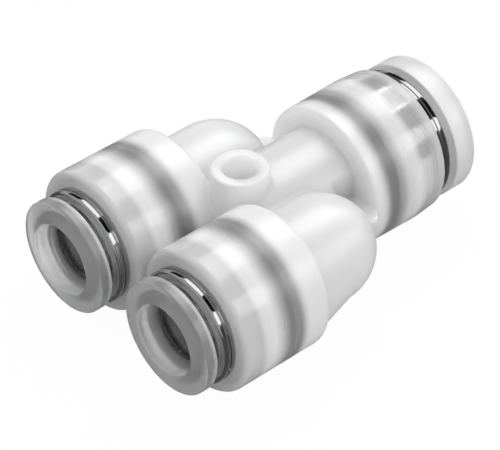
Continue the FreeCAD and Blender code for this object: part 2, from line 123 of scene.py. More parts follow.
class NodeBench:
    """A fresh node material and short ways to wire it."""

    def __init__(self, name: str) -> None:
        """Start an empty material.

        Args:
            name: The material's name.
        """
        self.material = bpy.data.materials.new(name)
        self.material.use_nodes = True
        self.tree = self.material.node_tree
        self.tree.nodes.clear()
        self.output = self.add("ShaderNodeOutputMaterial")

    def add(self, kind: str, **sockets: object) -> bpy.types.Node:
        """Add a node and set its input sockets.

        Args:
            kind: Blender's node type.
            **sockets: Input names, with underscores for spaces, and their values.

        Returns:
            The new node.
        """
        node = self.tree.nodes.new(kind)
        for socket, value in sockets.items():
            node.inputs[socket.replace("_", " ")].default_value = value
        return node

    def link(self, source: bpy.types.NodeSocket, target: bpy.types.NodeSocket) -> None:
        """Join an output to an input.

        Args:
            source: The output.
            target: The input.
        """
        self.tree.links.new(source, target)

    def surface(self, shader: bpy.types.Node) -> bpy.types.Material:
        """Send a shader to the surface output.

        Args:
            shader: The node whose first output is a shader.

        Returns:
            The finished material.
        """
        self.link(shader.outputs[0], self.output.inputs["Surface"])
        return self.material

    def noise(self, scale: float, detail: float = 3.0, finer: float = 1.0) -> bpy.types.NodeSocket:
        """Noise in the object's own metres.

        Args:
            scale: Waves per metre.
            detail: Octaves.
            finer: How many times finer it is along X.

        Returns:
            Socket that gives the noise.
        """
        place = self.add("ShaderNodeTexCoord")
        squeeze = self.add("ShaderNodeMapping", Scale=(finer, 1.0, 1.0))
        noise = self.add("ShaderNodeTexNoise", Scale=scale, Detail=detail)
        self.link(place.outputs["Object"], squeeze.inputs["Vector"])
        self.link(squeeze.outputs["Vector"], noise.inputs["Vector"])
        return noise.outputs["Fac"]

    def bump(
        self, height: bpy.types.NodeSocket, strength: float, depth: float
    ) -> bpy.types.NodeSocket:
        """Bump from a height.

        Args:
            height: Socket that gives the height.
            strength: Share of the bump used.
            depth: Height in metres for a value of one.

        Returns:
            The bumped normal.
        """
        bump = self.add("ShaderNodeBump", Strength=strength, Distance=depth)
        self.link(height, bump.inputs["Height"])
        return bump.outputs["Normal"]

    def spread(
        self, value: bpy.types.NodeSocket, low: float, high: float
    ) -> bpy.types.NodeSocket:
        """Map a value from 0 to 1 onto a range.

        Args:
            value: Socket to map.
            low: Result at 0.
            high: Result at 1.

        Returns:
            The mapped value.
        """
        spread = self.add("ShaderNodeMapRange", To_Min=low, To_Max=high)
        self.link(value, spread.inputs["Value"])
        return spread.outputs["Result"]

    def combine(
        self, operation: str, first: bpy.types.NodeSocket, second: bpy.types.NodeSocket
    ) -> bpy.types.NodeSocket:
        """Combine two values, and keep the result between 0 and 1.

        Args:
            operation: Blender's name of the operation.
            first: One value.
            second: The other.

        Returns:
            The result.
        """
        node = self.add("ShaderNodeMath")
        node.operation = operation
        node.use_clamp = True
        self.link(first, node.inputs[0])
        self.link(second, node.inputs[1])
        return node.outputs[0]

    def mix_shaders(
        self, share: bpy.types.NodeSocket, first: bpy.types.Node, second: bpy.types.Node
    ) -> bpy.types.Node:
        """Mix two shaders.

        Args:
            share: Share of the second.
            first: Node of one shader.
            second: Node of the other.

        Returns:
            The mixing node.
        """
        mix = self.add("ShaderNodeMixShader")
        self.link(share, mix.inputs["Fac"])
        self.link(first.outputs[0], mix.inputs[1])
        self.link(second.outputs[0], mix.inputs[2])
        return mix

    def middle_share(self, ramps: Ramps) -> bpy.types.NodeSocket:
        """How far a place along X belongs to the middle of the part.

        Args:
            ramps: Where the change starts and ends, from -X and from +X, in metres.

        Returns:
            Socket that runs from 0 at the ends to 1 in the middle.
        """
        place = self.add("ShaderNodeTexCoord")
        split = self.add("ShaderNodeSeparateXYZ")
        self.link(place.outputs["Object"], split.inputs[0])
        sides = []
        for start, end in ramps:
            rise = self.add("ShaderNodeMapRange", From_Min=start, From_Max=end)
            rise.interpolation_type = "SMOOTHSTEP"
            self.link(split.outputs["X"], rise.inputs["Value"])
            sides.append(rise.outputs["Result"])
        return self.combine("MULTIPLY", *sides)

    def tint(
        self, share: bpy.types.NodeSocket, first: Tint, second: Tint
    ) -> bpy.types.NodeSocket:
        """Blend two colours.

        Args:
            share: Socket that runs from 0 to 1.
            first: Colour at 0.
            second: Colour at 1.

        Returns:
            The colour.
        """
        mix = self.add("ShaderNodeMix")
        mix.data_type = "RGBA"
        self.link(share, mix.inputs[0])
        mix.inputs[6].default_value = first.rgba
        mix.inputs[7].default_value = second.rgba
        return mix.outputs[2]


@dataclass(frozen=True)
class PlasticLook:
    """One state of a translucent plastic: its colour, how much it lets through and how hazily."""

    tint: Tint
    see_through: float
    haze: float


@dataclass(frozen=True)
class Zones:
    """Where a plastic's ends, windows and middle meet, for each thing that changes there."""

    look: Ramps
    haze: Ramps
    milk: Ramps
    window: Ramps

    @classmethod
    def alike(cls, ramps: Ramps) -> Zones:
        """Let everything change at the same places.

        Args:
            ramps: Those places.

        Returns:
            The zones.
        """
        return cls(ramps, ramps, ramps, ramps)


@dataclass(frozen=True)
class ClearPlastic:
    """Moulded translucent plastic that looks one way at its ends and another in its middle.

    Attributes:
        window: What the clearer windows between an end and the middle let through.
        frosted: Zones that let less through than their surroundings.
        frost_clarity: Share of their clarity that the frosted zones keep.
        grain: How much the fine grain adds to the haze.
        gloss: Strength of the surface's shine in the middle, and mouth_gloss that at the ends.
        milk: Share of light that scatters inside the middle, and milk_depth how deep, in metres.
    """

    name: str
    ends: PlasticLook
    middle: PlasticLook
    zones: Zones
    window: float
    frosted: tuple[Ramps, ...] = ()
    frost_clarity: float = 0.4
    grain: float = 0.04
    grain_scale: float = 900.0
    gloss: float = 0.35
    mouth_gloss: float = 0.3
    gloss_rough: float = 0.35
    index: float = 1.49
    milk: float = 1.0
    milk_depth: float = 0.009

    def material(self) -> bpy.types.Material:
        """Build the node material.

        Returns:
            The material.
        """
        bench = NodeBench(self.name)
        shader = bench.add(
            "ShaderNodeBsdfPrincipled",
            IOR=self.index,
            Coat_Roughness=self.gloss_rough,
            Subsurface_Radius=(1.0, 1.0, 1.0),
            Subsurface_Scale=self.milk_depth,
        )
        share = bench.middle_share(self.zones.look)
        haze_share = bench.middle_share(self.zones.haze)
        haze = bench.spread(haze_share, self.ends.haze, self.middle.haze)
        grain = bench.spread(bench.noise(self.grain_scale), 0.0, self.grain)
        inputs = {
            "Base Color": bench.tint(share, self.ends.tint, self.middle.tint),
            "Transmission Weight": self.clarity(bench, share),
            "Subsurface Weight": bench.spread(bench.middle_share(self.zones.milk), 0.0, self.milk),
            "Coat Weight": bench.spread(share, self.mouth_gloss, self.gloss),
            "Roughness": bench.combine("ADD", haze, grain),
        }
        for name, value in inputs.items():
            bench.link(value, shader.inputs[name])
        return bench.surface(shader)

    def clarity(self, bench: NodeBench, share: bpy.types.NodeSocket) -> bpy.types.NodeSocket:
        """How much the plastic lets through along X.

        Args:
            bench: The material's bench.
            share: Share of the middle's look.

        Returns:
            Socket that gives the share of light let through.
        """
        in_window = bench.middle_share(self.zones.window)
        clear = bench.add("ShaderNodeMix")
        bench.link(share, clear.inputs[0])
        bench.link(bench.spread(in_window, self.ends.see_through, self.window), clear.inputs[2])
        clear.inputs[3].default_value = self.middle.see_through
        clarity = clear.outputs[0]
        for ramps in self.frosted:
            frost = bench.spread(bench.middle_share(ramps), 1.0, self.frost_clarity)
            clarity = bench.combine("MULTIPLY", clarity, frost)
        return clarity


@dataclass(frozen=True)
class TurnedSteel:
    """Stainless sheet with fine lines round its axis, and a tint of its own outside the housing,
    which on the collar is painted shade.
    """

    name: str
    # Tint outside the housing; on the polished collar it is painted shade that darkens its
    # reflections.
    outside_shade_tint: Tint
    tint: Tint
    rough_low: float
    rough_high: float
    line_scale: float = 400.0
    line_detail: float = 2.0
    lines_finer: float = 30.0
    line_strength: float = 0.08
    line_depth: float = 0.00001

    def material(self) -> bpy.types.Material:
        """Build the node material.

        Returns:
            The material.
        """
        bench = NodeBench(self.name)
        shader = bench.add("ShaderNodeBsdfPrincipled", Metallic=1.0)
        inside = bench.middle_share(MOUTH_RAMPS)
        lines = bench.noise(self.line_scale, self.line_detail, self.lines_finer)
        inputs = {
            "Base Color": bench.tint(inside, self.outside_shade_tint, self.tint),
            "Roughness": bench.spread(lines, self.rough_low, self.rough_high),
            "Normal": bench.bump(lines, self.line_strength, self.line_depth),
        }
        for name, value in inputs.items():
            bench.link(value, shader.inputs[name])
        return bench.surface(shader)


@dataclass(frozen=True)
class SealRubber:
    """Matt black elastomer."""

    name: str = "seal_elastomer"
    tint: Tint = Tint.SEAL
    grain_scale: float = 4000.0
    rough_low: float = 0.5
    rough_high: float = 0.65

    def material(self) -> bpy.types.Material:
        """Build the node material.

        Returns:
            The material.
        """
        bench = NodeBench(self.name)
        shader = bench.add("ShaderNodeBsdfPrincipled", Base_Color=self.tint.rgba)
        rough = bench.spread(bench.noise(self.grain_scale), self.rough_low, self.rough_high)
        bench.link(rough, shader.inputs["Roughness"])
        return bench.surface(shader)


MILKY_POLYPROPYLENE = ClearPlastic(
    "milky_polypropylene",
    ends=PlasticLook(Tint.MILKY, 0.52, 0.1),
    middle=PlasticLook(Tint.MILKY_CORE, 0.05, 0.3),
    zones=Zones(
        look=((-0.0055, -0.0041), (0.0126, 0.0110)),
        haze=((-0.0095, -0.0065), (0.0170, 0.0142)),
        milk=((-0.0019, -0.0015), (0.0107, 0.0101)),
        window=((-0.0085, -0.0065), (0.0190, 0.0178)),
    ),
    window=0.79,
    frosted=(
        ((0.0134, 0.0148), (0.0169, 0.0158)),
        ((-0.0099, -0.0090), (-0.0060, -0.0084)),
    ),
)
RING_PLASTIC = ClearPlastic(
    "ring_plastic",
    ends=PlasticLook(Tint.RING, 0.1, 0.4),
    middle=PlasticLook(Tint.RING, 0.1, 0.4),
    zones=Zones.alike(WHOLE),
    window=0.1,
)
# Painted shade: the sleeve's middle takes the darker neck tint.
SLEEVE_PLASTIC = ClearPlastic(
    "sleeve_plastic",
    ends=PlasticLook(Tint.SLEEVE, 0.8, 0.32),
    middle=PlasticLook(Tint.SLEEVE_NECK, 0.96, 0.12),
    zones=Zones.alike(SLEEVE_RAMPS),
    window=0.96,
)
# Painted shade: the large sleeve's middle takes the darker neck tint.
PALE_SLEEVE_PLASTIC = ClearPlastic(
    "pale_sleeve_plastic",
    ends=PlasticLook(Tint.MILKY, 0.42, 0.4),
    middle=PlasticLook(Tint.SLEEVE_NECK, 0.96, 0.12),
    zones=Zones.alike(PALE_RAMPS),
    window=0.96,
)
SPRING_STEEL = TurnedSteel("spring_steel", Tint.SPRING, Tint.SPRING, 0.2, 0.3)
# Painted shade: the polished collar is tinted dark where it stands outside the housing.
POLISHED_STEEL = TurnedSteel("polished_steel", Tint.STEEL_LIP, Tint.STEEL, 0.05, 0.1)


@dataclass(frozen=True)
class Corner:
    """Corner of a turned outline, in millimetres: along the axis, off it, and its rounding."""

    along: float
    radius: float
    fillet: float = 0.0


def rounded(corners: list[Corner]) -> list[Vector]:
    """Replace each filleted corner of a closed outline by an arc.

    Args:
        corners: The outline's corners in order.

    Returns:
        Points of the outline, in millimetres.
    """
    points = []
    for number, corner in enumerate(corners):
        here = Vector((corner.along, corner.radius))
        if corner.fillet <= 0.0:
            points.append(here)
            continue
        before, after = corners[number - 1], corners[(number + 1) % len(corners)]
        back = Vector((before.along, before.radius)) - here
        ahead = Vector((after.along, after.radius)) - here
        half = back.angle(ahead) / 2
        room = min(back.length, ahead.length) * SIDE_SHARE
        reach = min(corner.fillet / math.tan(half), room)
        size = reach * math.tan(half)
        bisector = (back.normalized() + ahead.normalized()).normalized()
        centre = here + bisector * (size / math.sin(half))
        first = here + back.normalized() * reach - centre
        last = here + ahead.normalized() * reach - centre
        sweep = first.angle_signed(last)
        for step in range(ARC_STEPS + 1):
            turn = Matrix.Rotation(-sweep * step / ARC_STEPS, 2)
            points.append(centre + turn @ first)
    return points


def placed(name: str, verts: list[Place], faces: list[tuple[int, ...]]) -> bpy.types.Object:
    """Make an object from its corners and faces, and put it in the scene.

    Args:
        name: The object's name.
        verts: Its corners, in metres.
        faces: The numbers of each face's corners.

    Returns:
        The new object.
    """
    mesh = bpy.data.meshes.new(name)
    mesh.from_pydata(verts, [], faces)
    piece = bpy.data.objects.new(name, mesh)
    bpy.context.scene.collection.objects.link(piece)
    return piece


def turned_mesh(
    name: str, corners: list[Corner], start: float, outward: int, axis_y: float
) -> bpy.types.Object:
    """Turn a closed outline about a port's axis.

    Args:
        name: The object's name.
        corners: Outline, whose along runs inwards from start, in millimetres.
        start: Where the outline's zero lies along X, in metres.
        outward: 1 where the port opens along +X, and -1 along -X.
        axis_y: The axis's place along Y, in metres.

    Returns:
        The new object.
    """
    points = rounded(corners)
    verts, faces = [], []
    count = len(points)
    for step in range(TURN_STEPS):
        angle = 2 * math.pi * step / TURN_STEPS
        for point in points:
            radius = point.y * MM
            verts.append((
                start - outward * point.x * MM,
                axis_y + radius * math.cos(angle),
                radius * math.sin(angle),
            ))
    for step in range(TURN_STEPS):
        near, far = step * count, (step + 1) % TURN_STEPS * count
        for number in range(count):
            after = (number + 1) % count
            faces.append((near + number, near + after, far + after, far + number))
    piece = placed(name, verts, faces)
    settle(piece)
    return piece


def settle(piece: bpy.types.Object) -> None:
    """Turn a mesh's faces outwards and shade it smooth but for its sharp edges.

    Args:
        piece: The object.
    """
    bpy.ops.object.select_all(action="DESELECT")
    piece.select_set(True)
    bpy.context.view_layer.objects.active = piece
    bpy.ops.object.mode_set(mode="EDIT")
    bpy.ops.mesh.select_all(action="SELECT")
    bpy.ops.mesh.normals_make_consistent(inside=False)
    bpy.ops.object.mode_set(mode="OBJECT")
    bpy.ops.object.shade_smooth_by_angle(angle=math.radians(SMOOTH_ANGLE))


@dataclass(frozen=True)
class PortSizes:
    """Sizes of one port's pieces, in millimetres, as on the real fitting."""

    tube_radius: float
    sleeve_wall: float
    head_step: float
    skirt_length: float
    flange_stand: float
    flange_thickness: float
    release_travel: float
    seal_section: float
    sleeve_play: float = 0.1
    slide_play: float = 0.15
    barb_hold: float = 0.2
    collar_wall: float = 0.4
    head_length: float = 1.2
    lip_thickness: float = 0.45
    flange_crown: float = 0.3

    @property
    def bore(self) -> float:
        """Inside of the release sleeve."""
        return self.tube_radius + self.sleeve_play

    @property
    def neck(self) -> float:
        """Outside of the release sleeve's neck."""
        return self.bore + self.sleeve_wall

    @property
    def lip(self) -> float:
        """Inside of the collar's lip."""
        return self.neck + self.slide_play

    @property
    def barb(self) -> float:
        """Outside of the sleeve's stop ledge."""
        return self.lip + self.barb_hold

    @property
    def skirt_inside(self) -> float:
        """Inside of the collar's skirt."""
        return self.barb + self.slide_play

    @property
    def skirt(self) -> float:
        """Outside of the collar's skirt."""
        return self.skirt_inside + self.collar_wall


SMALL_PORT = PortSizes(
    tube_radius=3.0, sleeve_wall=1.3, head_step=0.3, skirt_length=2.8,
    flange_stand=1.2, flange_thickness=1.15, release_travel=0.8, seal_section=2.0,
)
LARGE_PORT = PortSizes(
    tube_radius=4.0, sleeve_wall=1.4, head_step=0.34, skirt_length=3.4,
    flange_stand=1.43, flange_thickness=2.37, release_travel=0.5, seal_section=1.95,
)


@dataclass
class PortDress:
    """Visible pieces of one port: polished collar, slotted release sleeve and crowned seal.

    Lengths are in millimetres. The crown's start and end are shares of the seal's length, and the
    cutter's reach is a multiple of the skirt's radius.
    """

    name: str
    side: Side
    sizes: PortSizes
    head_round: float = 0.3
    groove_depth: float = 0.1
    groove_width: float = 0.14
    groove_inset: float = 0.45
    stop_clearance: float = 0.05
    barb_inset: float = 0.1
    barb_length: float = 0.5
    nose_wall: float = 0.5
    nose_reach: float = 0.22
    funnel_flare: float = 0.4
    funnel_rim: float = 0.4
    funnel_length: float = 1.3
    slot_width: float = 0.6
    slot_start: float = 1.1
    slots: int = 4
    cutter_reach: float = 1.2
    cutter_overrun: float = 1.0
    seal_flank: float = 0.25
    seal_round: float = 0.2
    crown_start: float = 0.2
    crown_end: float = 0.8
    crown_round: float = 0.5

    def node(self, word: str) -> str:
        """Name of one of the port's nodes.

        Args:
            word: What the piece is.

        Returns:
            The name.
        """
        return f"{self.name}_{word}"

    def front_of(self, word: str) -> tuple[float, float]:
        """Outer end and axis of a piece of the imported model.

        Args:
            word: The piece's word in its node's name.

        Returns:
            Place of the outer end along X, and of the axis along Y, in metres.
        """
        low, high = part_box(self.node(word))
        end = high.x if self.side is Side.BACK else low.x
        return end, (low.y + high.y) / 2

    def collar(self, finish: bpy.types.Material) -> bpy.types.Object:
        """Build the polished collar.

        Args:
            finish: The collar's material.

        Returns:
            The collar.
        """
        s = self.sizes
        head = s.skirt + s.head_step
        groove_end = s.head_length - self.groove_inset
        groove = groove_end - self.groove_width
        deep = head - self.groove_depth
        length = s.head_length + s.skirt_length
        start, axis_y = self.front_of("retaining_collar")
        piece = turned_mesh(self.node("polished_collar"), [
            Corner(0, s.lip, 0.08),
            Corner(0, head, self.head_round),
            Corner(groove, head, 0.03),
            Corner(groove, deep, 0.02),
            Corner(groove_end, deep, 0.02),
            Corner(groove_end, head, 0.03),
            Corner(s.head_length, head, 0.06),
            Corner(s.head_length, s.skirt),
            Corner(length, s.skirt, 0.05),
            Corner(length, s.skirt_inside, 0.05),
            Corner(s.lip_thickness, s.skirt_inside, 0.1),
            Corner(s.lip_thickness, s.lip, 0.08),
        ], start, self.side.value, axis_y)
        piece.data.materials.append(finish)
        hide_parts(self.node("retaining_collar"))
        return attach(piece, "fitting")

    def seal(self, finish: bpy.types.Material) -> bpy.types.Object:
        """Build the seal, whose crown presses into the port's wall.

        Args:
            finish: The seal's material.

        Returns:
            The seal.
        """
        low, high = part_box(self.node("seal"))
        length = (high.x - low.x) / MM
        outer = (high.z - low.z) / 2 / MM
        inner = outer - self.sizes.seal_section
        crown, flank = outer + PRESS, outer - self.seal_flank
        start, axis_y = self.front_of("seal")
        piece = turned_mesh(self.node("pressed_seal"), [
            Corner(0, inner, self.seal_round),
            Corner(0, flank, self.seal_round),
            Corner(length * self.crown_start, crown, self.crown_round),
            Corner(length * self.crown_end, crown, self.crown_round),
            Corner(length, flank, self.seal_round),
            Corner(length, inner, self.seal_round),
        ], start, self.side.value, axis_y)
        piece.data.materials.append(finish)
        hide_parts(self.node("seal"))
        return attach(piece, "fitting")

    def sleeve(self, finish: bpy.types.Material) -> bpy.types.Object:
        """Build the release sleeve with its funnel mouth and slotted nose.

        Args:
            finish: The sleeve's material.

        Returns:
            The sleeve.
        """
        s = self.sizes
        flange = s.neck + s.flange_stand
        back = s.flange_crown + s.flange_thickness
        gap = s.release_travel + self.stop_clearance
        ledge = back + gap + s.lip_thickness + self.barb_inset
        tip = back + s.head_length + s.skirt_length + self.nose_reach
        funnel = s.bore + self.funnel_flare
        start, axis_y = self.front_of("release_sleeve")
        piece = turned_mesh(self.node("push_sleeve"), [
            Corner(0, funnel, 0.25),
            Corner(0, funnel + self.funnel_rim, 0.3),
            Corner(s.flange_crown, flange, 0.2),
            Corner(back, flange, 0.12),
            Corner(back, s.neck, 0.15),
            Corner(ledge, s.neck, 0.05),
            Corner(ledge, s.barb, 0.05),
            Corner(ledge + self.barb_length, s.barb, 0.1),
            Corner(tip, s.bore + self.nose_wall, 0.1),
            Corner(tip, s.bore, 0.1),
            Corner(self.funnel_length, s.bore, 0.4),
        ], start, self.side.value, axis_y)
        piece.data.materials.append(finish)
        self.cut_slots(piece, start, axis_y, (ledge + self.slot_start, tip))
        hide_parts(self.node("release_sleeve"))
        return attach(piece, f"{self.name}_sleeve")

    def cut_slots(
        self, piece: bpy.types.Object, start: float, axis_y: float, nose: tuple[float, float]
    ) -> None:
        """Cut the finger slots through the sleeve's nose.

        Args:
            piece: The sleeve.
            start: Its outer end along X, in metres.
            axis_y: Its axis along Y, in metres.
            nose: Where slots and nose start and end, from its outer end, in millimetres.
        """
        begin, tip = nose
        reach = self.sizes.skirt * self.cutter_reach
        box = [(0, 1, 3, 2), (4, 6, 7, 5), (0, 4, 5, 1), (2, 3, 7, 6), (0, 2, 6, 4), (1, 5, 7, 3)]
        for number in range(self.slots // 2):
            turn = Matrix.Rotation(math.pi * number / (self.slots // 2), 3, "X")
            verts = []
            for along in (begin, tip + self.cutter_overrun):
                for across in (-self.slot_width / 2, self.slot_width / 2):
                    for up in (-reach, reach):
                        spot = turn @ Vector((-self.side.value * along, across, up)) * MM
                        verts.append((start + spot.x, axis_y + spot.y, spot.z))
            cutter = placed("slot_cutter", verts, box)
            cutter.data.materials.append(piece.data.materials[0])
            settle(cutter)
            cut = piece.modifiers.new("finger_slots", "BOOLEAN")
            cut.object = cutter
            cut.operation = "DIFFERENCE"
            cut.solver = "MANIFOLD"
            bpy.context.view_layer.objects.active = piece
            bpy.ops.object.modifier_apply(modifier=cut.name)
            bpy.data.objects.remove(cutter)
        settle(piece)


def blend(first: np.ndarray, second: np.ndarray, size: float) -> np.ndarray:
    """Join two distance fields with a rounded seam.

    Args:
        first: One field.
        second: The other.
        size: Reach of the rounding.

    Returns:
        The joined field.
    """
    share = np.maximum(size - np.abs(first - second), 0.0) / size
    return np.minimum(first, second) - share * share * size / 4


def rounded_pair(
    first: np.ndarray, second: np.ndarray, size: float | np.ndarray
) -> np.ndarray:
    """Keep what lies inside both of two fields, with a rounded edge between them.

    Args:
        first: One field.
        second: The other.
        size: Radius of the edge.

    Returns:
        The field of the space that they share.
    """
    a, b = first + size, second + size
    past_edge = np.hypot(np.maximum(a, 0.0), np.maximum(b, 0.0))
    return np.minimum(np.maximum(a, b), 0.0) + past_edge - size


def crossed_cells(inside: np.ndarray) -> np.ndarray:
    """Find the grid's cells that a skin passes through.

    Args:
        inside: Whether each grid point lies inside the skin.

    Returns:
        Numbers of the cells along the three axes, one cell to a row.
    """
    shape = inside.shape
    count = np.zeros([size - 1 for size in shape], dtype=int)
    for i, j, k in CELL_CORNERS:
        count += inside[i:shape[0] - 1 + i, j:shape[1] - 1 + j, k:shape[2] - 1 + k]
    return np.argwhere((count > 0) & (count < len(CELL_CORNERS)))


def cell_points(cells: np.ndarray, grid: np.ndarray, level: np.ndarray) -> np.ndarray:
    """Put one point in each crossed cell, amid the places where its edges cross the skin.

    Args:
        cells: The crossed cells.
        grid: Places of the grid points.
        level: Distance at each grid point.

    Returns:
        One point to a cell.
    """
    total = np.zeros((len(cells), 3))
    crossed = np.zeros((len(cells), 1))
    for first in CELL_CORNERS:
        for axis in range(3):
            if first[axis]:
                continue
            start = cells + first
            stop = start + STEPS[axis]
            a, b = level[tuple(start.T)], level[tuple(stop.T)]
            hit = (a < 0.0) != (b < 0.0)
            share = np.where(hit, a / np.where(hit, a - b, 1.0), 0.0)[:, None]
            spot = grid[tuple(start.T)] * (1 - share) + grid[tuple(stop.T)] * share
            total += spot * hit[:, None]
            crossed += hit[:, None]
    return total / crossed


def cell_quads(cells: np.ndarray, inside: np.ndarray) -> np.ndarray:
    """Join the points of neighbouring cells by a quad round each grid edge that is crossed.

    Args:
        cells: The crossed cells.
        inside: Whether each grid point lies inside the skin.

    Returns:
        Numbers of each quad's points, in the order of the cells.
    """
    number = np.full(inside.shape, -1)
    number[tuple(cells.T)] = np.arange(len(cells))
    within = tuple(slice(0, size - 1) for size in inside.shape)
    low = inside[within]
    quads = []
    for axis in range(3):
        one, two = STEPS[(axis + 1) % 3], STEPS[(axis + 2) % 3]
        high = np.roll(inside, -1, axis=axis)[within]
        for flip in (False, True):
            edges = np.argwhere((high & ~low) if flip else (low & ~high))
            ring = [edges, edges - one, edges - one - two, edges - two]
            faces = np.stack([number[tuple(corner.T)] for corner in ring], axis=1)
            quads.append(faces[:, ::-1] if flip else faces)
    return np.concatenate(quads)


@dataclass(frozen=True)
class BranchShell:
    """Sizes of a small port's moulded shell and of the blind channel behind it, in millimetres.

    The fairing's rise and drop hold at the mounting hole's axis. They fade to nothing at its end,
    and grow towards the shell up to fairing_most times.
    """

    axis_y: float = 7.18
    mouth: float = -11.73
    end: float = -1.63
    radius: float = 7.05
    mouth_round: float = 0.6
    end_round: float = 0.75
    channel: float = 5.2
    dome_start: float = 3.12
    dome_end: float = 8.72
    dome_round: float = 5.6
    fairing_end: float = 3.2
    fairing_rise: float = 0.46
    fairing_drop: float = 0.7
    fairing_most: float = 1.5
    channel_blend: float = 0.25
    channel_root: float = 1.0

    def field(self, x: np.ndarray, y: np.ndarray, z: np.ndarray) -> np.ndarray:
        """Distance to the two shells and their channels, negative inside.

        Args:
            x: Places along the ports' axes.
            y: Places across them.
            z: Heights.

        Returns:
            Distance at each place.
        """
        across = np.abs(y) - self.axis_y
        out = np.hypot(across, z)
        middle = (self.mouth + self.end) / 2
        edge = np.where(x < middle, self.mouth_round, self.end_round)
        shell = rounded_pair(np.abs(x - middle) - (self.end - middle), out - self.radius, edge)
        return blend(shell, self.channel_field(x, across, z, out), self.channel_blend)

    def channel_field(
        self, x: np.ndarray, across: np.ndarray, z: np.ndarray, out: np.ndarray
    ) -> np.ndarray:
        """Distance to a domed channel with the fairing under it.

        Args:
            x: Places along the axis.
            across: Places across it.
            z: Heights.
            out: Distance from the axis.

        Returns:
            Distance at each place.
        """
        chord = Vector((self.dome_end - self.dome_start, -self.channel))
        inward = Vector((chord.y, -chord.x)).normalized()
        sag = math.sqrt(self.dome_round ** 2 - chord.length_squared / 4)
        centre = Vector((self.dome_start, self.channel)) + chord / 2 + inward * sag
        dome = np.hypot(x - centre.x, out - centre.y) - self.dome_round
        channel = np.where(x > centre.x, dome, out - self.channel)
        share = np.clip((self.fairing_end - x) / self.fairing_end, 0.0, self.fairing_most)
        fairing = np.hypot(across, z + self.fairing_drop * share)
        fairing = fairing - self.channel - self.fairing_rise * share
        fairing = np.maximum(fairing, x - self.fairing_end)
        return np.maximum(np.minimum(channel, fairing), self.end - self.channel_root - x)


